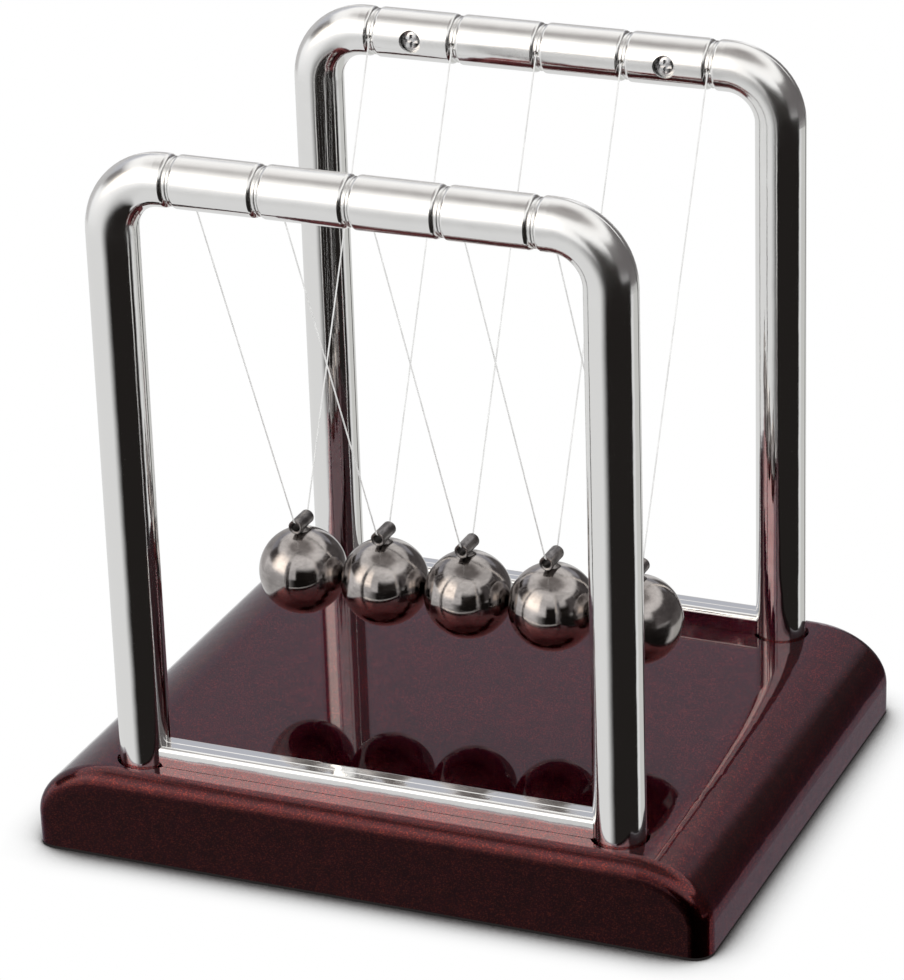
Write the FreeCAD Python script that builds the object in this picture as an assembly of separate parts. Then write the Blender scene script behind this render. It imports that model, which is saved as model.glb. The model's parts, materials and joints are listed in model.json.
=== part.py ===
"""Newton's cradle: five steel balls on V-shaped lines between two arched tube frames on a moulded base.

Millimetres, +Z up. X runs along the row of balls, the origin is on the table under the middle ball, and the
front frame is at -Y.
"""

import FreeCAD, Part
import math
import os

# Pendulums
BALL_COUNT = 5
BALL_RADIUS = 9.0
BALL_GAP = 0.1
PITCH = 2 * BALL_RADIUS + BALL_GAP
BALL_Z = 40.4

HANGER_RADIUS = 1.45
HANGER_BORE = 0.85
HANGER_LENGTH = 6.2
HANGER_LIFT = 10.55
HANGER_MOUTH_RADIUS = 0.5
HANGER_EDGE = 0.1
WELD_TOP_RADIUS = 0.9
WELD_FOOT_RADIUS = 1.8

LINE_RADIUS = 0.15
LINE_CLEARANCE = 0.05

BEAD_RADIUS = 0.8
BEAD_LENGTH = 1.2
BEAD_BORE = 0.18
BEAD_EDGE = 0.3
LINE_TAIL = 0.6

# Frames: each is one arched tube, moulded as an outer and an inner half shell
TUBE_RADIUS = 5.1
TUBE_BORE = 3.5
FRAME_Y = 47.3
LEG_X = 49.8
BAR_Z = 140.0
BEND_RADIUS = 10.8
SEAM_CHAMFER = 0.15

GROOVE_HALF_WIDTH = 0.5
GROOVE_DEPTH = 0.55
GROOVE_SHOULDER = 0.9
RIDGE_HALF_WIDTH = 0.2
RIDGE_HEIGHT = 0.2

LIP_RADIUS = 0.65
EYELET_RADIUS = 0.25
BEAD_SEAT_Y = 3.55
BEAD_POCKET_RADIUS = 1.0

CROSSBAR_HEIGHT = 4.0
CROSSBAR_HALF_DEPTH = 2.9
CROSSBAR_EDGE = 1.0
CROSSBAR_GAP = 0.05

LEG_DEPTH = 11.0
LEG_PLUG_LENGTH = 10.0

# Base
BASE_LENGTH = 141.4
BASE_WIDTH = 114.4
BASE_TOP = 18.4
BASE_BOTTOM = 0.6
BASE_END_RX = 16.0
BASE_END_RZ = 11.8
BASE_EDGE_RADIUS = 4.0
BASE_WALL = 2.4
SOCKET_RADIUS = 7.3
SOCKET_BORE = 5.3
SOCKET_MOUTH = 5.75
SOCKET_MOUTH_DEPTH = 0.8
SOCKET_FLOOR = 2.0
RIB_THICKNESS = 1.6
RIB_BOTTOM = 9.0
RIB_X = 25.0
RIB_Y = 20.0

PLATE_BOTTOM = 0.8
PLATE_THICKNESS = 2.0
PLATE_GAP = 0.15
PLATE_BOSS_RADIUS = 3.2
PLATE_SCREW_PLACES = [(x, y) for x in (-61.0, 61.0) for y in (-24.0, 24.0)] + [(0.0, -46.0), (0.0, 46.0)]

FOOT_RADIUS = 5.0
FOOT_RECESS = 0.4
FOOT_EDGE = 0.25
FOOT_X = 59.0
FOOT_Y = 44.0

# Screws, each as a core radius, length under the head, head radius and head height
FRAME_SCREW = (0.9, 6.2, 2.1, 1.3)
FRAME_SCREW_X = 27.15
FRAME_SCREW_SEAT_Y = 3.0
FRAME_SCREW_RECESS = 2.35
FRAME_BOSS_RADIUS = 3.3
LEG_SCREW = (1.4, 10.0, 2.7, 1.8)
PLATE_SCREW = (1.0, 8.0, 2.2, 1.3)
PILOT_CLEARANCE = 0.05
THROUGH_CLEARANCE = 0.25
RECESS_LENGTH = 0.65
RECESS_WIDTH = 0.16

# Values worked out from the ones above
BALL_XS = [PITCH * (i - (BALL_COUNT - 1) / 2) for i in range(BALL_COUNT)]
GROOVE_FLOOR = TUBE_RADIUS - GROOVE_DEPTH
LIP_CENTRE = GROOVE_FLOOR - LIP_RADIUS + 0.02
LIP_ARC = EYELET_RADIUS + LIP_RADIUS
HANGER_Z = BALL_Z + HANGER_LIFT
MOUTH_ARC = HANGER_MOUTH_RADIUS + LINE_RADIUS + LINE_CLEARANCE
LEG_BOTTOM = BASE_TOP - LEG_DEPTH
BEND_X = LEG_X - BEND_RADIUS
BEND_Z = BAR_Z - BEND_RADIUS
PLATE_TOP = PLATE_BOTTOM + PLATE_THICKNESS
X = FreeCAD.Vector(1, 0, 0)
Y = FreeCAD.Vector(0, 1, 0)
Z = FreeCAD.Vector(0, 0, 1)
V = FreeCAD.Vector


def line(a, b):
    """A straight edge."""
    return Part.LineSegment(a, b).toShape()


def arc(a, middle, b):
    """A round edge through three points."""
    return Part.Arc(a, middle, b).toShape()


def face(edges):
    """A flat face inside one closed outline."""
    return Part.Face(Part.Wire(edges))


def turned(edges, centre, axis):
    """A solid of revolution."""
    return face(edges).revolve(centre, axis, 360)


def tall_box(x0, x1, y0, y1, z0, z1):
    """A box between two corners."""
    return Part.makeBox(x1 - x0, y1 - y0, z1 - z0, V(x0, y0, z0))


def half_ring(side, centre, across):
    """The section of one half shell: a half ring on the given side of Y, its parting edges chamfered."""

    def at(u, v):
        return centre + across * u + Y * (side * v)

    edge = TUBE_RADIUS - SEAM_CHAMFER
    start = math.sqrt(TUBE_RADIUS**2 - SEAM_CHAMFER**2)
    return face(
        [
            line(at(-edge, 0), at(-start, SEAM_CHAMFER)),
            arc(at(-start, SEAM_CHAMFER), at(0, TUBE_RADIUS), at(start, SEAM_CHAMFER)),
            line(at(start, SEAM_CHAMFER), at(edge, 0)),
            line(at(edge, 0), at(TUBE_BORE, 0)),
            arc(at(TUBE_BORE, 0), at(0, TUBE_BORE), at(-TUBE_BORE, 0)),
            line(at(-TUBE_BORE, 0), at(-edge, 0)),
        ]
    )


def half_disc(side, radius, centre, across):
    """A half disc on the given side of Y."""
    left = centre - across * radius
    right = centre + across * radius
    return face([arc(left, centre + Y * (side * radius), right), line(right, left)])


def arch(side):
    """The hollow half tube: up one leg, round the bend, along the bar, and down again."""
    bar = half_ring(side, V(-BEND_X, 0, BAR_Z), Z).extrude(X * (2 * BEND_X))
    pieces = []
    for hand in (-1, 1):
        leg = half_ring(side, V(hand * LEG_X, 0, LEG_BOTTOM), X)
        pieces.append(leg.extrude(Z * (BEND_Z - LEG_BOTTOM)))
        bend = half_ring(side, V(hand * LEG_X, 0, BEND_Z), X)
        pieces.append(bend.revolve(V(hand * BEND_X, 0, BEND_Z), Y, -90 * hand))
        plug = half_disc(side, TUBE_BORE + 0.1, V(hand * LEG_X, 0, LEG_BOTTOM), X)
        pieces.append(plug.extrude(Z * LEG_PLUG_LENGTH))
    return bar.multiFuse(pieces)


def screw_boss(side, x):
    """The solid post inside the bar that one frame screw passes through."""
    post = Part.makeCylinder(FRAME_BOSS_RADIUS, TUBE_BORE + 0.1, V(x, 0, BAR_Z), Y * side)
    core = half_disc(side, TUBE_BORE + 0.1, V(x - PITCH / 2, 0, BAR_Z), Z).extrude(X * PITCH)
    return post.common(core)


def crossbar(side):
    """Half of the low bar between the feet of the legs, its top edge rounded."""
    bottom = BASE_TOP + CROSSBAR_GAP
    top = BASE_TOP + CROSSBAR_HEIGHT
    reach = LEG_X - (TUBE_RADIUS + TUBE_BORE) / 2

    def at(v, z):
        return V(-reach, side * v, z)

    slope = CROSSBAR_EDGE * (1 - math.sqrt(0.5))
    outline = [
        line(at(0, bottom), at(CROSSBAR_HALF_DEPTH, bottom)),
        line(at(CROSSBAR_HALF_DEPTH, bottom), at(CROSSBAR_HALF_DEPTH, top - CROSSBAR_EDGE)),
        arc(
            at(CROSSBAR_HALF_DEPTH, top - CROSSBAR_EDGE),
            at(CROSSBAR_HALF_DEPTH - slope, top - slope),
            at(CROSSBAR_HALF_DEPTH - CROSSBAR_EDGE, top),
        ),
        line(at(CROSSBAR_HALF_DEPTH - CROSSBAR_EDGE, top), at(SEAM_CHAMFER, top)),
        line(at(SEAM_CHAMFER, top), at(0, top - SEAM_CHAMFER)),
        line(at(0, top - SEAM_CHAMFER), at(0, bottom)),
    ]
    return face(outline).extrude(X * (2 * reach))


def ring_groove(x):
    """The cutter for the groove round the bar where one line leaves it, with a fine ridge in its middle."""
    clear = TUBE_RADIUS + 1.0
    top = TUBE_RADIUS + 0.01
    wall = GROOVE_HALF_WIDTH
    rim = wall + GROOVE_SHOULDER
    depth = top - GROOVE_FLOOR
    round_radius = (GROOVE_SHOULDER**2 + depth**2) / (2 * depth)
    round_x = GROOVE_SHOULDER / 2
    round_r = top - round_radius + math.sqrt(round_radius**2 - round_x**2)

    def at(u, r):
        return V(x + u, 0, BAR_Z + r)

    outline = [
        line(at(-rim, clear), at(-rim, top)),
        arc(at(-rim, top), at(round_x - rim, round_r), at(-wall, GROOVE_FLOOR)),
        line(at(-wall, GROOVE_FLOOR), at(-RIDGE_HALF_WIDTH, GROOVE_FLOOR)),
        arc(
            at(-RIDGE_HALF_WIDTH, GROOVE_FLOOR),
            at(0, GROOVE_FLOOR + RIDGE_HEIGHT),
            at(RIDGE_HALF_WIDTH, GROOVE_FLOOR),
        ),
        line(at(RIDGE_HALF_WIDTH, GROOVE_FLOOR), at(wall, GROOVE_FLOOR)),
        arc(at(wall, GROOVE_FLOOR), at(rim - round_x, round_r), at(rim, top)),
        line(at(rim, top), at(rim, clear)),
        line(at(rim, clear), at(-rim, clear)),
    ]
    return turned(outline, V(x, 0, BAR_Z), X)


def eyelet(x):
    """The cutter for one line hole: a bead pocket inside, a fine hole, and a mouth rounded outwards."""

    def at(r, y):
        return V(x + r, y, BAR_Z)

    outside = TUBE_RADIUS + 1.0
    lip_turn = LIP_RADIUS * math.sqrt(0.5)
    outline = [
        line(at(0, 0.5), at(BEAD_POCKET_RADIUS, 0.5)),
        line(at(BEAD_POCKET_RADIUS, 0.5), at(BEAD_POCKET_RADIUS, BEAD_SEAT_Y)),
        line(at(BEAD_POCKET_RADIUS, BEAD_SEAT_Y), at(EYELET_RADIUS, BEAD_SEAT_Y)),
        line(at(EYELET_RADIUS, BEAD_SEAT_Y), at(EYELET_RADIUS, LIP_CENTRE)),
        arc(
            at(EYELET_RADIUS, LIP_CENTRE),
            at(LIP_ARC - lip_turn, LIP_CENTRE + lip_turn),
            at(LIP_ARC, LIP_CENTRE + LIP_RADIUS),
        ),
        line(at(LIP_ARC, LIP_CENTRE + LIP_RADIUS), at(LIP_ARC, outside)),
        line(at(LIP_ARC, outside), at(0, outside)),
        line(at(0, outside), at(0, 0.5)),
    ]
    return turned(outline, V(x, 0, BAR_Z), Y)


def leg_pilots():
    """The holes that the leg screws cut their threads in."""
    radius = LEG_SCREW[0] + PILOT_CLEARANCE
    depth = LEG_SCREW[1] - SOCKET_FLOOR + 0.5
    return [Part.makeCylinder(radius, depth, V(hand * LEG_X, 0, LEG_BOTTOM), Z) for hand in (-1, 1)]


def half_shell(side):
    """One half of a frame, round its own mid-plane at Y = 0. The inner half is on the +Y side."""
    inner = side > 0
    solid = arch(side).multiFuse([screw_boss(side, x) for x in (-FRAME_SCREW_X, FRAME_SCREW_X)])
    solid = solid.fuse(crossbar(side)).removeSplitter()
    cutters = [ring_groove(x) for x in BALL_XS] + leg_pilots()
    if inner:
        cutters += [eyelet(x) for x in BALL_XS]
    for x in (-FRAME_SCREW_X, FRAME_SCREW_X):
        if inner:
            hole = FRAME_SCREW[0] + THROUGH_CLEARANCE
            cutters.append(Part.makeCylinder(hole, FRAME_SCREW_SEAT_Y + 1, V(x, -1, BAR_Z), Y))
            recess = Part.makeCylinder(FRAME_SCREW_RECESS, TUBE_RADIUS, V(x, FRAME_SCREW_SEAT_Y, BAR_Z), Y)
            cutters.append(recess)
        else:
            pilot = FRAME_SCREW[0] + PILOT_CLEARANCE
            depth = FRAME_SCREW[1] - FRAME_SCREW_SEAT_Y + 0.3
            cutters.append(Part.makeCylinder(pilot, depth + 1, V(x, 1, BAR_Z), Y * -1))
    for cutter in cutters:
        solid = solid.cut(cutter)
    return solid


def screw(dims, seat, direction):
    """A pan-head screw with a cross recess. The head's flat side is at seat, and the point lies along direction."""
    core, length, head_radius, head_height = dims
    point = 2 * core
    dome = 0.4 * head_height
    outline = [
        line(V(0, 0, -length), V(core, 0, point - length)),
        line(V(core, 0, point - length), V(core, 0, 0)),
        line(V(core, 0, 0), V(head_radius, 0, 0)),
        line(V(head_radius, 0, 0), V(head_radius, 0, head_height - dome)),
        arc(
            V(head_radius, 0, head_height - dome),
            V(0.65 * head_radius, 0, head_height - 0.3 * dome),
            V(0.2 * head_radius, 0, head_height),
        ),
        line(V(0.2 * head_radius, 0, head_height), V(0, 0, head_height)),
        line(V(0, 0, head_height), V(0, 0, -length)),
    ]
    solid = turned(outline, V(0, 0, 0), Z)
    long_half = RECESS_LENGTH * head_radius
    short_half = RECESS_WIDTH * head_radius
    floor = 0.45 * head_height
    for half_x, half_y in ((long_half, short_half), (short_half, long_half)):
        solid = solid.cut(tall_box(-half_x, half_x, -half_y, half_y, floor, 2 * head_height))
    solid.Placement = FreeCAD.Placement(seat, FreeCAD.Rotation(Z * -1, direction))
    return solid


def moved_frame(shape, rear):
    """A front frame's piece at its place, or the same piece turned half round for the rear frame."""
    shape = shape.copy()
    shape.translate(Y * -FRAME_Y)
    if rear:
        shape.rotate(V(0, 0, 0), Z, 180)
    return shape


def frame_screws():
    """The two screws that hold a frame's half shells together, round the frame's own mid-plane."""
    places = [V(x, FRAME_SCREW_SEAT_Y, BAR_Z) for x in (-FRAME_SCREW_X, FRAME_SCREW_X)]
    return [screw(FRAME_SCREW, place, Y * -1) for place in places]


def block(inset, bottom):
    """The base's outer form, made smaller by inset: arched ends, one round edge along the front and back."""
    half_length = BASE_LENGTH / 2 - inset
    half_width = BASE_WIDTH / 2 - inset
    top = BASE_TOP - inset
    radius_x = BASE_END_RX - inset
    radius_z = BASE_END_RZ - inset
    spring = top - radius_z

    def at(x, z):
        return V(x, -half_width, z)

    middle_x = half_length - radius_x
    ellipse = Part.Ellipse(V(0, 0, 0), radius_x, radius_z)
    quarter = Part.ArcOfEllipse(ellipse, 0, math.pi / 2).toShape()
    quarter.rotate(V(0, 0, 0), X, 90)
    right = quarter.copy()
    right.translate(at(middle_x, spring))
    left = quarter.mirror(V(0, 0, 0), X)
    left.translate(at(-middle_x, spring))
    outline = [
        line(at(-half_length, bottom), at(half_length, bottom)),
        line(at(half_length, bottom), at(half_length, spring)),
        right,
        line(at(middle_x, top), at(-middle_x, top)),
        left,
        line(at(-half_length, spring), at(-half_length, bottom)),
    ]
    solid = face(outline).extrude(Y * (2 * half_width))
    rim = [
        edge
        for edge in solid.Edges
        if abs(abs(edge.CenterOfMass.y) - half_width) < 0.01 and edge.CenterOfMass.z > bottom + 0.01
    ]
    return solid.makeFillet(BASE_EDGE_RADIUS - inset, rim)


def leg_places():
    """Where the four legs stand."""
    return [(hand * LEG_X, depth * FRAME_Y) for hand in (-1, 1) for depth in (-1, 1)]


def base_shell():
    """The hollow moulding, with leg sockets, screw posts and ribs under its top."""
    solid = block(0, BASE_BOTTOM).cut(block(BASE_WALL, BASE_BOTTOM - 1))
    mid_skin = block(BASE_WALL / 2, BASE_BOTTOM)
    height = BASE_TOP - PLATE_TOP
    inside = [Part.makeCylinder(SOCKET_RADIUS, height, V(x, y, PLATE_TOP), Z) for x, y in leg_places()]
    inside += [Part.makeCylinder(PLATE_BOSS_RADIUS, height, V(x, y, PLATE_TOP), Z) for x, y in PLATE_SCREW_PLACES]
    half = RIB_THICKNESS / 2
    reach_x = BASE_LENGTH / 2
    reach_y = BASE_WIDTH / 2
    for hand in (-1, 1):
        across = hand * RIB_X
        along = hand * RIB_Y
        inside.append(tall_box(across - half, across + half, -reach_y, reach_y, RIB_BOTTOM, BASE_TOP))
        inside.append(tall_box(-reach_x, reach_x, along - half, along + half, RIB_BOTTOM, BASE_TOP))
    solid = solid.multiFuse([piece.common(mid_skin) for piece in inside]).removeSplitter()
    floor_bottom = LEG_BOTTOM - SOCKET_FLOOR
    for x, y in leg_places():
        solid = solid.cut(Part.makeCylinder(SOCKET_BORE, LEG_DEPTH + 1, V(x, y, LEG_BOTTOM), Z))
        mouth = V(x, y, BASE_TOP - SOCKET_MOUTH_DEPTH)
        solid = solid.cut(Part.makeCone(SOCKET_BORE, SOCKET_MOUTH, SOCKET_MOUTH_DEPTH, mouth, Z))
        head = Part.makeCylinder(LEG_SCREW[2] + 0.3, floor_bottom - PLATE_TOP + 1, V(x, y, PLATE_TOP - 1), Z)
        hole = Part.makeCylinder(LEG_SCREW[0] + THROUGH_CLEARANCE, SOCKET_FLOOR + 2, V(x, y, floor_bottom - 1), Z)
        solid = solid.cut(head).cut(hole)
    for x, y in PLATE_SCREW_PLACES:
        depth = PLATE_SCREW[1] - PLATE_THICKNESS + 1
        pilot = Part.makeCylinder(PLATE_SCREW[0] + PILOT_CLEARANCE, depth + 1, V(x, y, PLATE_TOP - 1), Z)
        solid = solid.cut(pilot)
    return solid


def plate_screw(x, y):
    """A countersunk screw from below, flush in the bottom plate."""
    core, length, head_radius, head_height = PLATE_SCREW
    tip = PLATE_BOTTOM + length
    outline = [
        line(V(0, 0, PLATE_BOTTOM), V(head_radius, 0, PLATE_BOTTOM)),
        line(V(head_radius, 0, PLATE_BOTTOM), V(core, 0, PLATE_BOTTOM + head_height)),
        line(V(core, 0, PLATE_BOTTOM + head_height), V(core, 0, tip - 2 * core)),
        line(V(core, 0, tip - 2 * core), V(0, 0, tip)),
        line(V(0, 0, tip), V(0, 0, PLATE_BOTTOM)),
    ]
    solid = turned(outline, V(0, 0, 0), Z)
    long_half = 0.55 * head_radius
    short_half = RECESS_WIDTH * head_radius
    for half_x, half_y in ((long_half, short_half), (short_half, long_half)):
        slot = tall_box(-half_x, half_x, -half_y, half_y, PLATE_BOTTOM - 1, PLATE_BOTTOM + 0.6)
        solid = solid.cut(slot)
    solid.translate(V(x, y, 0))
    return solid


def foot_places():
    """Where the four foot pads are, by name."""
    return {
        f"{'front' if depth < 0 else 'rear'}_{'left' if hand < 0 else 'right'}": (hand * FOOT_X, depth * FOOT_Y)
        for depth in (-1, 1)
        for hand in (-1, 1)
    }


def bottom_plate():
    """The flat plate that closes the base from below, with recesses for the pads and screw heads."""
    inset = BASE_WALL + PLATE_GAP
    half_x = BASE_LENGTH / 2 - inset
    half_y = BASE_WIDTH / 2 - inset
    solid = tall_box(-half_x, half_x, -half_y, half_y, PLATE_BOTTOM, PLATE_TOP)
    corners = [
        edge
        for edge in solid.Edges
        if abs(edge.CenterOfMass.x) > half_x - 1 and abs(edge.CenterOfMass.y) > half_y - 1
    ]
    solid = solid.makeFillet(BASE_EDGE_RADIUS - inset, corners)
    core, _, head_radius, head_height = PLATE_SCREW
    for x, y in foot_places().values():
        solid = solid.cut(Part.makeCylinder(FOOT_RADIUS + 0.1, FOOT_RECESS + 1, V(x, y, PLATE_BOTTOM - 1), Z))
    for x, y in PLATE_SCREW_PLACES:
        seat = Part.makeCone(head_radius + 0.1, core + 0.1, head_height, V(x, y, PLATE_BOTTOM), Z)
        hole = Part.makeCylinder(core + 0.1, PLATE_THICKNESS + 2, V(x, y, PLATE_BOTTOM - 1), Z)
        solid = solid.cut(seat).cut(hole)
    return solid


def foot_pad(x, y):
    """A round rubber pad that stands proud below the base."""
    pad = Part.makeCylinder(FOOT_RADIUS, PLATE_BOTTOM + FOOT_RECESS, V(x, y, 0), Z)
    rim = [edge for edge in pad.Edges if edge.CenterOfMass.z < 0.01 and edge.Length > FOOT_RADIUS]
    return pad.makeFillet(FOOT_EDGE, rim)


def hanger(x):
    """The short tube on top of a ball, its mouths rounded for the line, with its weld down to the ball."""

    def at(r, y):
        return V(x, y, HANGER_Z + r)

    end = HANGER_LENGTH / 2
    bend = end - HANGER_MOUTH_RADIUS
    crown = HANGER_BORE + HANGER_MOUTH_RADIUS
    turn = HANGER_MOUTH_RADIUS * math.sqrt(0.5)
    outline = [
        line(at(HANGER_BORE, -bend), at(HANGER_BORE, bend)),
        arc(at(HANGER_BORE, bend), at(crown - turn, bend + turn), at(crown, end)),
        line(at(crown, end), at(HANGER_RADIUS, end - HANGER_EDGE)),
        line(at(HANGER_RADIUS, end - HANGER_EDGE), at(HANGER_RADIUS, HANGER_EDGE - end)),
        line(at(HANGER_RADIUS, HANGER_EDGE - end), at(crown, -end)),
        arc(at(crown, -end), at(crown - turn, -bend - turn), at(HANGER_BORE, -bend)),
    ]
    tube = turned(outline, V(x, 0, HANGER_Z), Y)
    foot = BALL_Z + BALL_RADIUS - 0.4
    crest = HANGER_Z - HANGER_BORE - 0.05
    weld = Part.makeCone(WELD_FOOT_RADIUS, WELD_TOP_RADIUS, crest - foot, V(x, 0, foot), Z)
    return tube.fuse(weld.cut(ball(x))).removeSplitter()


def ball(x):
    """A solid ball."""
    return Part.makeSphere(BALL_RADIUS, V(x, 0, BALL_Z))


def line_corners():
    """The corners of a line's route from the front bar to the rear bar, as Y and Z.

    The long runs are tangent to the rounded mouths of the bar's eyelet and of the hanger.
    """
    bar_y = FRAME_Y - LIP_CENTRE
    bar_z = BAR_Z - LIP_ARC
    mouth_y = HANGER_LENGTH / 2 - HANGER_MOUTH_RADIUS
    mouth_z = HANGER_Z + HANGER_BORE + HANGER_MOUTH_RADIUS
    run_y = bar_y - mouth_y
    run_z = bar_z - mouth_z
    lean = math.atan2(run_y, run_z) - math.asin((LIP_ARC + MOUTH_ARC) / math.hypot(run_y, run_z))
    half_turn = math.tan((math.pi / 2 - lean) / 2)
    end_y = FRAME_Y - BEAD_SEAT_Y + LINE_CLEARANCE + BEAD_LENGTH + LINE_TAIL
    half = [
        (end_y, BAR_Z),
        (bar_y - LIP_ARC * half_turn, BAR_Z),
        (mouth_y + MOUTH_ARC * half_turn, mouth_z - MOUTH_ARC),
    ]
    return [(-y, z) for y, z in half] + [(y, z) for y, z in reversed(half)]


def rounded_path(points, radii):
    """Straight runs joined by tangent arcs, one radius for each inner point."""
    edges = []
    start = points[0]
    for before, corner, after, radius in zip(points, points[1:], points[2:], radii):
        back = (before - corner).normalize()
        ahead = (after - corner).normalize()
        half_turn = (math.pi - back.getAngle(ahead)) / 2
        reach = radius * math.tan(half_turn)
        depth = radius / math.cos(half_turn) - radius
        leave = corner + back * reach
        join = corner + ahead * reach
        middle = corner + (back + ahead).normalize() * depth
        edges += [line(start, leave), arc(leave, middle, join)]
        start = join
    edges.append(line(start, points[-1]))
    return Part.Wire(edges)


def suspension_line(x):
    """One ball's line: out of the front bar, down, through the hanger, and up to the rear bar."""
    points = [V(x, y, z) for y, z in line_corners()]
    radii = [LIP_ARC, MOUTH_ARC, MOUTH_ARC, LIP_ARC]
    path = rounded_path(points, radii)
    section = Part.Wire(Part.makeCircle(LINE_RADIUS, points[0], Y))
    print("line length", round(path.Length, 2))
    return path.makePipeShell([section], True, True)


def bead(x, side):
    """The crimp bead on one end of a line, held against its seat inside the bar."""
    seat = FRAME_Y - BEAD_SEAT_Y + LINE_CLEARANCE
    back = seat + BEAD_LENGTH

    def at(r, y):
        return V(x + r, side * y, BAR_Z)

    turn = BEAD_EDGE * (1 - math.sqrt(0.5))
    outline = [
        line(at(BEAD_BORE, seat), at(BEAD_RADIUS - BEAD_EDGE, seat)),
        arc(
            at(BEAD_RADIUS - BEAD_EDGE, seat),
            at(BEAD_RADIUS - turn, seat + turn),
            at(BEAD_RADIUS, seat + BEAD_EDGE),
        ),
        line(at(BEAD_RADIUS, seat + BEAD_EDGE), at(BEAD_RADIUS, back - BEAD_EDGE)),
        arc(
            at(BEAD_RADIUS, back - BEAD_EDGE),
            at(BEAD_RADIUS - turn, back - turn),
            at(BEAD_RADIUS - BEAD_EDGE, back),
        ),
        line(at(BEAD_RADIUS - BEAD_EDGE, back), at(BEAD_BORE, back)),
        line(at(BEAD_BORE, back), at(BEAD_BORE, seat)),
    ]
    return turned(outline, V(x, 0, BAR_Z), Y)


def export(name, shape):
    """Writes one piece, or one group of like pieces, and says how it came out."""
    if not shape.isValid():
        print("not valid:", name)
    print(f"{name}: {len(shape.Solids)} solids, {shape.Volume:.2f} mm3, faces {len(shape.Faces)}")
    shape.exportStep(f"parts/{name}.step")


def build_base():
    """The base and everything fixed to it."""
    export("base_shell", base_shell())
    export("base_bottom_plate", bottom_plate())
    export("base_plate_screws", Part.makeCompound([plate_screw(x, y) for x, y in PLATE_SCREW_PLACES]))
    for place, (x, y) in foot_places().items():
        export(f"foot_pad_{place}", foot_pad(x, y))
    seats = [V(x, y, LEG_BOTTOM - SOCKET_FLOOR) for x, y in leg_places()]
    export("leg_screws", Part.makeCompound([screw(LEG_SCREW, seat, Z) for seat in seats]))


def build_frames():
    """The two frames, each of an outer and an inner half shell and the screws that join them."""
    outer = half_shell(-1)
    inner = half_shell(1)
    screws = Part.makeCompound(frame_screws())
    for rear, name in ((False, "front"), (True, "rear")):
        export(f"{name}_frame_outer_shell", moved_frame(outer, rear))
        export(f"{name}_frame_inner_shell", moved_frame(inner, rear))
        export(f"{name}_frame_screws", moved_frame(screws, rear))


def build_pendulums():
    """Each ball with its hanger, its line and the line's two beads."""
    for number, x in enumerate(BALL_XS, start=1):
        export(f"ball_{number}", ball(x))
        export(f"ball_hanger_{number}", hanger(x))
        export(f"line_{number}", suspension_line(x))
        export(f"line_beads_{number}", Part.makeCompound([bead(x, side) for side in (-1, 1)]))


os.makedirs("parts", exist_ok=True)
build_base()
build_frames()
build_pendulums()
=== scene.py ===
"""Newton's cradle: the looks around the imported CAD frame. Metres, +Z up, the front frame at -Y."""

import json
import math

import bpy
from mathutils import Matrix, Vector


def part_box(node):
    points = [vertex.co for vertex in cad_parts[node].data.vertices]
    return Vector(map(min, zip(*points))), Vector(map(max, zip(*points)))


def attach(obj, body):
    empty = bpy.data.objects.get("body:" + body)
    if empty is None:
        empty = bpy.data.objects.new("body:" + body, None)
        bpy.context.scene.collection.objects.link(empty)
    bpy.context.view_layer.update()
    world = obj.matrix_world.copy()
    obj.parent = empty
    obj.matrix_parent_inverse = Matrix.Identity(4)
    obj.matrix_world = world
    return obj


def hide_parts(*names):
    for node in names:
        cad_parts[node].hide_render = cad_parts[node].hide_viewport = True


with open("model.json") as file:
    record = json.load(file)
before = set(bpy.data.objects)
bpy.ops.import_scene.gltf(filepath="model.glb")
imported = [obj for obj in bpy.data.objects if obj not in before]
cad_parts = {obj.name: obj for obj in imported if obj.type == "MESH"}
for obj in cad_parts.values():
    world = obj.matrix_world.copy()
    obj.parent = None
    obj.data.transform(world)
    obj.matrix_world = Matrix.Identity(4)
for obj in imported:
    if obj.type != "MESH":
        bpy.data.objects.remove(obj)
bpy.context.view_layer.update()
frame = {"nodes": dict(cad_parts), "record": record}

# Camera, in the frame of the object
CAMERA_TARGET = Vector((-0.0027, -0.0003, 0.0628))
CAMERA_DISTANCE = 0.872
CAMERA_AZIMUTH = 23.321
CAMERA_ELEVATION = 23.635
CAMERA_ROLL = -1.87
CAMERA_LENS = 161.73

# Lines: half of the route's corners as Y and Z, from the bead in the rear bar to the middle of the hanger
LINE_DIAMETER = 0.0003
LINE_CORNERS = [
    (0.0456, 0.1400),
    (0.0428, 0.1400),
    (0.04206, 0.13836),
    (0.00379, 0.05324),
    (0.00305, 0.0516),
]

# Studio: the light that reflections see. The sky's stops are an elevation in degrees and a colour.
SKY_STOPS = [
    (-90, (0.72, 0.72, 0.72)),
    (-20, (0.76, 0.76, 0.755)),
    (-8, (0.92, 0.92, 0.92)),
    (8, (1.08, 1.08, 1.08)),
    (45, (1.12, 1.11, 1.09)),
    (62, (0.95, 0.93, 0.91)),
    (76, (0.34, 0.32, 0.31)),
    (90, (0.24, 0.22, 0.21)),
]
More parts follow.
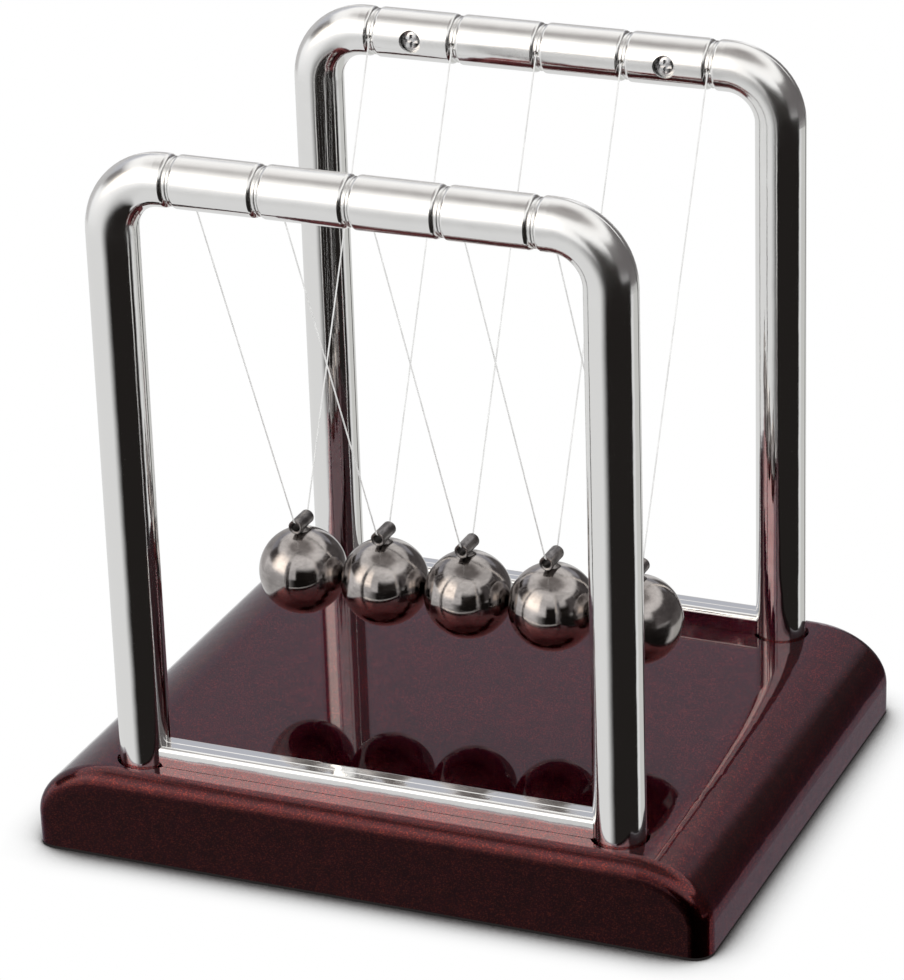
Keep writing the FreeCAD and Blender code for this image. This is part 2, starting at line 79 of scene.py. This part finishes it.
# Panels, each as a name, its azimuth range, the softness of its left and right edges, its elevation range, the
# softness of its lower and upper edges, all in degrees, and its colour. Azimuth 0 is -Y and turns towards +X.
# Later panels lie over earlier ones.
PANELS = [
    ("ceiling_front", (-98, 110), (30, 30), (62, 100), (14, 1), (0.36, 0.34, 0.33)),
    ("table_right_back", (122, 176), (10, 10), (-80, -15), (8, 12), (0.60, 0.60, 0.58)),
    ("dark_right_back", (104, 186), (10, 8), (-16, 32), (3, 24), (0.16, 0.15, 0.15)),
    ("gap_right", (60, 160), (8, 10), (-2, 36), (6, 6), (0.14, 0.13, 0.13)),
    ("gap_left", (248, 302), (12, 6), (12, 36), (4, 6), (0.12, 0.11, 0.11)),
    ("dim_left_back", (196, 262), (6, 10), (-15, 22), (3, 3), (0.55, 0.54, 0.54)),
    ("gap_behind", (158, 262), (12, 8), (19.5, 33.0), (2, 4), (0.50, 0.51, 0.56)),
    ("softbox_left", (-66, -15), (24, 3), (8, 42), (14, 26), (2.6, 2.4, 2.16)),
    ("opening_high", (4, 66), (4, 8), (-8, 22), (4, 14), (0.022, 0.019, 0.017)),
    ("opening_low", (-13, 108), (34, 8), (-80, -4), (6, 5), (0.016, 0.014, 0.013)),
]
# What lights matt surfaces from all round, and what the camera sees behind the object
DOME_LIGHT = (1.12, 1.12, 1.12)
BACKDROP = (1.0, 1.0, 1.0)
# Floor: its radius, how far the contact shadow reaches, and the shadow's tone by how open the floor is there
FLOOR_RADIUS = 3.0
CONTACT_REACH = 0.012
CONTACT_STOPS = [
    (0.50, (0.020, 0.018, 0.018)),
    (0.56, (0.13, 0.125, 0.125)),
    (0.62, (0.36, 0.355, 0.355)),
    (0.71, (0.67, 0.67, 0.67)),
    (0.80, (0.86, 0.86, 0.86)),
    (0.92, (1.0, 1.0, 1.0)),
]
# Base: half its depth, and the painted shade on its front and back walls: how strong the clear coat is there,
# and how dark the red is painted there
WALL_Y = 0.0572
WALL_SHADE_COAT = 0.24
WALL_PAINTED_SHADE = (0.26, 0.38, 0.38)
# Base ends: half its length, and how strong the clear coat is at the foot of the arched ends, where it is
# weakened as painted shade
END_X = 0.0707
END_SHADE_COAT = 0.36
# Lacquer: metal flakes and specks of dust, both as cells per metre, and the share of the dust cells left clean
FLAKE_CELLS = 6500
DUST_CELLS = 60
DUST_CLEAN = 0.7
# Chrome: the heights between which the handling haze sets in, and how much roughness it adds
HANDLED_FROM = 0.118
HANDLED_FULL = 0.136
HANDLED_HAZE = 0.16
BALLS = 5


def azimuth_direction(azimuth, elevation):
    """The unit vector at an azimuth and elevation in degrees."""
    a = math.radians(azimuth)
    e = math.radians(elevation)
    return Vector((math.sin(a) * math.cos(e), -math.cos(a) * math.cos(e), math.sin(e)))


def make_camera():
    """The camera at the photographed angle."""
    toward = azimuth_direction(CAMERA_AZIMUTH, CAMERA_ELEVATION)
    data = bpy.data.cameras.new("camera")
    data.lens = CAMERA_LENS
    data.sensor_width = 36
    camera = bpy.data.objects.new("camera", data)
    bpy.context.scene.collection.objects.link(camera)
    camera.location = CAMERA_TARGET + toward * CAMERA_DISTANCE
    level = toward.to_track_quat("Z", "Y").to_matrix()
    camera.rotation_euler = (level @ Matrix.Rotation(math.radians(CAMERA_ROLL), 3, "Z")).to_euler()
    bpy.context.scene.camera = camera


# Node helpers


def join(tree, source, target):
    """Links an output socket to an input socket."""
    tree.links.new(source, target)


def math_node(tree, operation, *operands):
    """A maths node; each operand is a number or an output socket."""
    node = tree.nodes.new("ShaderNodeMath")
    node.operation = operation
    for slot, value in enumerate(operands):
        if isinstance(value, (int, float)):
            node.inputs[slot].default_value = value
        else:
            join(tree, value, node.inputs[slot])
    return node.outputs[0]


def smooth_range(tree, value, low, high, to_low=0.0, to_high=1.0):
    """A value eased from one range to another."""
    node = tree.nodes.new("ShaderNodeMapRange")
    node.interpolation_type = "SMOOTHSTEP"
    for name, number in (("From Min", low), ("From Max", high), ("To Min", to_low), ("To Max", to_high)):
        node.inputs[name].default_value = number
    join(tree, value, node.inputs["Value"])
    return node.outputs["Result"]


def mix_colour(tree, factor, first, second, blend="MIX"):
    """A colour mix; factor and colours are numbers, tuples or output sockets."""
    node = tree.nodes.new("ShaderNodeMix")
    node.data_type = "RGBA"
    node.blend_type = blend
    for slot, value in ((0, factor), (6, first), (7, second)):
        if isinstance(value, bpy.types.NodeSocket):
            join(tree, value, node.inputs[slot])
        elif isinstance(value, tuple):
            node.inputs[slot].default_value = (*value, 1.0)
        else:
            node.inputs[slot].default_value = value
    return node.outputs[2]


def stepped_ramp(tree, value, stops):
    """A colour ramp; each stop is a position and a colour."""
    node = tree.nodes.new("ShaderNodeValToRGB")
    elements = node.color_ramp.elements
    while len(elements) < len(stops):
        elements.new(0.5)
    for element, (position, colour) in zip(elements, stops):
        element.position = position
        element.color = (*colour, 1.0)
    join(tree, value, node.inputs[0])
    return node.outputs[0]


# Studio


def make_world():
    """White to the camera, an even dome to diffuse light, and the studio's panels to reflections."""
    world = bpy.data.worlds.new("studio")
    world.use_nodes = True
    world.cycles.sampling_method = "NONE"
    bpy.context.scene.world = world
    tree = world.node_tree
    background = tree.nodes["Background"]
    place = tree.nodes.new("ShaderNodeTexCoord")
    split = tree.nodes.new("ShaderNodeSeparateXYZ")
    join(tree, place.outputs["Generated"], split.inputs[0])
    azimuth = math_node(tree, "ARCTAN2", split.outputs[0], math_node(tree, "MULTIPLY", split.outputs[1], -1.0))
    elevation = math_node(tree, "ARCSINE", split.outputs[2])

    height = math_node(tree, "MULTIPLY_ADD", elevation, 1 / math.pi, 0.5)
    colour = stepped_ramp(tree, height, [((degrees + 90) / 180, shade) for degrees, shade in SKY_STOPS])
    for _, sides, side_soft, heights, height_soft, panel_colour in PANELS:
        middle = math.radians(sum(sides) / 2)
        half_width = math.radians(sides[1] - sides[0]) / 2
        offset = math_node(tree, "WRAP", math_node(tree, "SUBTRACT", azimuth, middle), math.pi, -math.pi)
        across = window(tree, offset, (-half_width, half_width), side_soft)
        along = window(tree, elevation, [math.radians(height) for height in heights], height_soft)
        colour = mix_colour(tree, math_node(tree, "MULTIPLY", across, along), colour, panel_colour)

    path = tree.nodes.new("ShaderNodeLightPath")
    lit = mix_colour(tree, path.outputs["Is Glossy Ray"], DOME_LIGHT, colour)
    seen = mix_colour(tree, path.outputs["Is Camera Ray"], lit, BACKDROP)
    join(tree, seen, background.inputs["Color"])


def window(tree, angle, limits, softness):
    """One between two limits and nothing outside them; the limits are in radians, the soft edges in degrees."""
    low, high = limits
    low_soft, high_soft = (math.radians(soft) / 2 for soft in softness)
    rise = smooth_range(tree, angle, low - low_soft, low + low_soft)
    fall = smooth_range(tree, angle, high - high_soft, high + high_soft, 1.0, 0.0)
    return math_node(tree, "MULTIPLY", rise, fall)


def make_floor():
    """A white floor that reflections don't see, with a painted contact shadow where the object nearly touches
    it.
    """
    bpy.ops.mesh.primitive_circle_add(vertices=96, radius=FLOOR_RADIUS, fill_type="NGON")
    floor = bpy.context.object
    floor.name = "floor"
    floor.visible_glossy = False
    paint = bpy.data.materials.new("floor_white")
    paint.use_nodes = True
    tree = paint.node_tree
    tree.nodes.remove(tree.nodes["Principled BSDF"])
    near = tree.nodes.new("ShaderNodeAmbientOcclusion")
    near.samples = 16
    near.inputs["Distance"].default_value = CONTACT_REACH
    # painted shadow: the floor's glow is darkened where the object hems it in
    ramp = stepped_ramp(tree, near.outputs["AO"], CONTACT_STOPS)
    glow = tree.nodes.new("ShaderNodeEmission")
    join(tree, ramp, glow.inputs["Color"])
    join(tree, glow.outputs[0], tree.nodes["Material Output"].inputs["Surface"])
    floor.data.materials.append(paint)


# Materials

SOCKETS = {
    "metallic": "Metallic",
    "roughness": "Roughness",
    "coat_weight": "Coat Weight",
    "coat_roughness": "Coat Roughness",
    "coat_ior": "Coat IOR",
}


def new_material(name, colour, **sockets):
    """A Principled material with plain values, each given by its short name in SOCKETS."""
    paint = bpy.data.materials.new(name)
    paint.use_nodes = True
    shader = paint.node_tree.nodes["Principled BSDF"]
    shader.inputs["Base Color"].default_value = (*colour, 1.0)
    for key, value in sockets.items():
        shader.inputs[SOCKETS[key]].default_value = value
    return paint


def object_noise(tree, scale, detail=3.0, stretch=(1, 1, 1), roughness=0.55):
    """A noise value fixed to the object; scale is in features per metre."""
    place = tree.nodes.new("ShaderNodeTexCoord")
    mapping = tree.nodes.new("ShaderNodeMapping")
    mapping.inputs["Scale"].default_value = stretch
    join(tree, place.outputs["Object"], mapping.inputs["Vector"])
    texture = tree.nodes.new("ShaderNodeTexNoise")
    texture.inputs["Scale"].default_value = scale
    texture.inputs["Detail"].default_value = detail
    texture.inputs["Roughness"].default_value = roughness
    join(tree, mapping.outputs[0], texture.inputs["Vector"])
    return texture.outputs["Fac"]


def cells(tree, scale):
    """Voronoi cells fixed to the object: the distance to a cell's centre, and the cell's own random colour."""
    place = tree.nodes.new("ShaderNodeTexCoord")
    texture = tree.nodes.new("ShaderNodeTexVoronoi")
    texture.inputs["Scale"].default_value = scale
    join(tree, place.outputs["Object"], texture.inputs["Vector"])
    return texture.outputs["Distance"], texture.outputs["Color"]


def bump(tree, height, strength, distance, onto=None):
    """A bump from a height value, laid onto another bump where one is given."""
    node = tree.nodes.new("ShaderNodeBump")
    node.inputs["Strength"].default_value = strength
    node.inputs["Distance"].default_value = distance
    join(tree, height, node.inputs["Height"])
    if onto is not None:
        join(tree, onto, node.inputs["Normal"])
    return node.outputs["Normal"]


def object_axis(tree, axis, kind="Object"):
    """One axis (0, 1 or 2 for X, Y or Z) of the object coordinates, or of the surface's normal in them."""
    place = tree.nodes.new("ShaderNodeTexCoord")
    split = tree.nodes.new("ShaderNodeSeparateXYZ")
    join(tree, place.outputs[kind], split.inputs[0])
    return split.outputs[axis]


def chrome_material():
    """Chrome on moulded plastic: mirror bright, faintly wavy, and hazed along the tops, where hands hold it."""
    paint = new_material("frame_chrome", (0.865, 0.862, 0.856), metallic=1.0)
    tree = paint.node_tree
    shader = tree.nodes["Principled BSDF"]
    haze = smooth_range(tree, object_noise(tree, 90, 4), 0.35, 0.75, 0.05, 0.11)
    handled = smooth_range(tree, object_axis(tree, 2), HANDLED_FROM, HANDLED_FULL, 0.0, HANDLED_HAZE)
    faces_up = smooth_range(tree, object_axis(tree, 2, "Normal"), -0.5, 0.1)
    handled = math_node(tree, "MULTIPLY", handled, faces_up)
    join(tree, math_node(tree, "ADD", haze, handled), shader.inputs["Roughness"])
    wave = bump(tree, object_noise(tree, 130, 1.0), 0.10, 0.001)
    join(tree, bump(tree, object_noise(tree, 900, 2.0), 0.03, 0.0002, wave), shader.inputs["Normal"])
    return paint


def ball_material():
    """Dark polished steel with finger smudges and hairline scratches."""
    paint = new_material("ball_steel", (0.42, 0.395, 0.375), metallic=1.0)
    tree = paint.node_tree
    shader = tree.nodes["Principled BSDF"]
    smudge = object_noise(tree, 130, 6, (1, 1, 1.6), 0.68)
    tone = smooth_range(tree, smudge, 0.34, 0.68)
    join(tree, mix_colour(tree, tone, (0.27, 0.25, 0.243), (0.49, 0.457, 0.442)), shader.inputs["Base Color"])
    join(tree, smooth_range(tree, smudge, 0.38, 0.72, 0.05, 0.24), shader.inputs["Roughness"])
    scratch = object_noise(tree, 260, 6, (1, 6, 1), 0.8)
    join(tree, bump(tree, scratch, 0.05, 0.0003), shader.inputs["Normal"])
    return paint


def hanger_material():
    """Dull steel tube, heat-stained."""
    paint = new_material("hanger_steel", (0.3, 0.28, 0.26), metallic=1.0)
    tree = paint.node_tree
    shader = tree.nodes["Principled BSDF"]
    mottle = object_noise(tree, 700, 5, (1, 0.4, 1), 0.6)
    stain = smooth_range(tree, mottle, 0.34, 0.62)
    join(tree, mix_colour(tree, stain, (0.13, 0.12, 0.12), (0.33, 0.31, 0.30)), shader.inputs["Base Color"])
    join(tree, smooth_range(tree, mottle, 0.3, 0.7, 0.42, 0.28), shader.inputs["Roughness"])
    join(tree, bump(tree, mottle, 0.12, 0.0001), shader.inputs["Normal"])
    return paint


def base_material():
    """Burgundy lacquer: fine metal flakes in dark red under a clear gloss coat, with a few specks of dust.
    Painted shade darkens the red and weakens the coat on the front and back walls, and weakens the coat at the
    foot of the ends.
    """
    paint = new_material(
        "base_lacquer",
        (0.10, 0.008, 0.012),
        metallic=1.0,
        roughness=0.13,
        coat_weight=1.0,
        coat_roughness=0.02,
        coat_ior=1.40,
    )
    tree = paint.node_tree
    shader = tree.nodes["Principled BSDF"]
    shader.inputs["Specular Tint"].default_value = (0.46, 0.46, 0.53, 1.0)
    wall = wall_shade_mask(tree)
    red, grain = flakes(tree)
    # painted shade: the red is darkened on the front and back walls
    red = mix_colour(tree, wall, red, WALL_PAINTED_SHADE, "MULTIPLY")
    speck = dust(tree)
    join(tree, mix_colour(tree, speck, red, (0.75, 0.72, 0.70)), shader.inputs["Base Color"])
    join(tree, math_node(tree, "SUBTRACT", 1.0, speck), shader.inputs["Metallic"])
    # painted shade: the coat is weakened on the walls and at the foot of the ends
    join(tree, coat_strength(tree, wall), shader.inputs["Coat Weight"])
    join(tree, bump(tree, grain, 0.12, 0.0002), shader.inputs["Normal"])
    return paint


def flakes(tree):
    """The flakes' colour, dark red with a few that sparkle, and a random height for each."""
    _, colour = cells(tree, FLAKE_CELLS)
    split = tree.nodes.new("ShaderNodeSeparateColor")
    join(tree, colour, split.inputs[0])
    sparkle = smooth_range(tree, split.outputs[0], 0.70, 1.0)
    red = mix_colour(tree, sparkle, (0.064, 0.004, 0.009), (0.28, 0.033, 0.020))
    cloud = smooth_range(tree, object_noise(tree, 300, 4), 0.3, 0.7, 0.8, 1.15)
    return mix_colour(tree, 1.0, red, cloud, "MULTIPLY"), split.outputs[1]


def dust(tree):
    """One on small specks in some of the dust cells, and nothing elsewhere."""
    distance, colour = cells(tree, DUST_CELLS)
    split = tree.nodes.new("ShaderNodeSeparateColor")
    join(tree, colour, split.inputs[0])
    speck = smooth_range(tree, distance, 0.006, 0.011, 1.0, 0.0)
    return math_node(tree, "MULTIPLY", speck, math_node(tree, "GREATER_THAN", split.outputs[0], DUST_CLEAN))


def wall_shade_mask(tree):
    """One on the base's upright front and back walls, where shade is painted in, and nothing elsewhere."""
    depth = math_node(tree, "ABSOLUTE", object_axis(tree, 1))
    return smooth_range(tree, depth, WALL_Y - 0.0014, WALL_Y - 0.0001)


def coat_strength(tree, wall):
    """How strong the clear coat is: full on the top, and weakened as painted shade on the walls and at the foot
    of the ends.
    """
    on_walls = smooth_range(tree, wall, 0.0, 1.0, 1.0, WALL_SHADE_COAT)
    length = math_node(tree, "ABSOLUTE", object_axis(tree, 0))
    on_ends = smooth_range(tree, length, END_X - 0.004, END_X - 0.0005, 1.0, END_SHADE_COAT)
    return math_node(tree, "MULTIPLY", on_walls, on_ends)


def line_material():
    """Clear nylon line, pale grey."""
    paint = new_material("line_nylon", (0.80, 0.80, 0.79), roughness=0.35)
    tree = paint.node_tree
    shader = tree.nodes["Principled BSDF"]
    tone = smooth_range(tree, object_noise(tree, 260, 2), 0.3, 0.7)
    join(tree, mix_colour(tree, tone, (0.74, 0.74, 0.73), (0.88, 0.88, 0.87)), shader.inputs["Base Color"])
    return paint


def screw_material():
    """Bright zinc-plated steel."""
    paint = new_material("screw_steel", (0.66, 0.66, 0.67), metallic=1.0)
    tree = paint.node_tree
    shader = tree.nodes["Principled BSDF"]
    grain = object_noise(tree, 1400, 4)
    join(tree, smooth_range(tree, grain, 0.3, 0.7, 0.16, 0.34), shader.inputs["Roughness"])
    return paint


def plate_material():
    """Black moulded plastic with a fine spark-eroded grain."""
    paint = new_material("plate_plastic", (0.022, 0.021, 0.021), roughness=0.55)
    tree = paint.node_tree
    shader = tree.nodes["Principled BSDF"]
    join(tree, bump(tree, object_noise(tree, 1800, 3), 0.25, 0.0001), shader.inputs["Normal"])
    return paint


def pad_material():
    """Dark foam rubber."""
    paint = new_material("pad_rubber", (0.035, 0.034, 0.033), roughness=0.85)
    tree = paint.node_tree
    shader = tree.nodes["Principled BSDF"]
    join(tree, bump(tree, object_noise(tree, 2600, 4), 0.5, 0.0001), shader.inputs["Normal"])
    return paint


def bead_material():
    """Crimped brass."""
    paint = new_material("bead_brass", (0.72, 0.53, 0.24), metallic=1.0, roughness=0.3)
    tree = paint.node_tree
    shader = tree.nodes["Principled BSDF"]
    grain = object_noise(tree, 2200, 3)
    join(tree, smooth_range(tree, grain, 0.3, 0.7, 0.2, 0.45), shader.inputs["Roughness"])
    return paint


def paint_nodes(paints):
    """Gives each CAD node the material of its slot in the record."""
    for part in frame["record"]["subparts"]:
        node = frame["nodes"][part["node"]]
        node.data.materials.clear()
        node.data.materials.append(paints[part["material_slot"]])


# Lines


def make_line(number, paint):
    """One ball's line as a smooth curve from bead to bead, which replaces its CAD tube."""
    low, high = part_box(f"line_{number}")
    x = (low.x + high.x) / 2
    route = [(-y, z) for y, z in LINE_CORNERS] + LINE_CORNERS[::-1]
    data = bpy.data.curves.new(f"nylon_line_{number}", "CURVE")
    data.dimensions = "3D"
    data.bevel_depth = LINE_DIAMETER / 2
    data.bevel_resolution = 4
    data.use_fill_caps = True
    data.resolution_u = 16
    spline = data.splines.new("NURBS")
    spline.points.add(len(route) - 1)
    for point, (y, z) in zip(spline.points, route):
        point.co = (x, y, z, 1.0)
    spline.order_u = 3
    spline.use_endpoint_u = True
    piece = bpy.data.objects.new(f"nylon_line_{number}", data)
    bpy.context.scene.collection.objects.link(piece)
    data.materials.append(paint)
    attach(piece, f"pendulum_{number}")
    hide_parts(f"line_{number}")


make_camera()
bpy.context.scene.view_settings.view_transform = "Standard"
make_world()
make_floor()
paints = {
    "frame_chrome": chrome_material(),
    "ball_steel": ball_material(),
    "hanger_steel": hanger_material(),
    "base_lacquer": base_material(),
    "plate_plastic": plate_material(),
    "pad_rubber": pad_material(),
    "screw_steel": screw_material(),
    "line_nylon": line_material(),
    "bead_brass": bead_material(),
}
paint_nodes(paints)
for number in range(1, BALLS + 1):
    make_line(number, paints["line_nylon"])
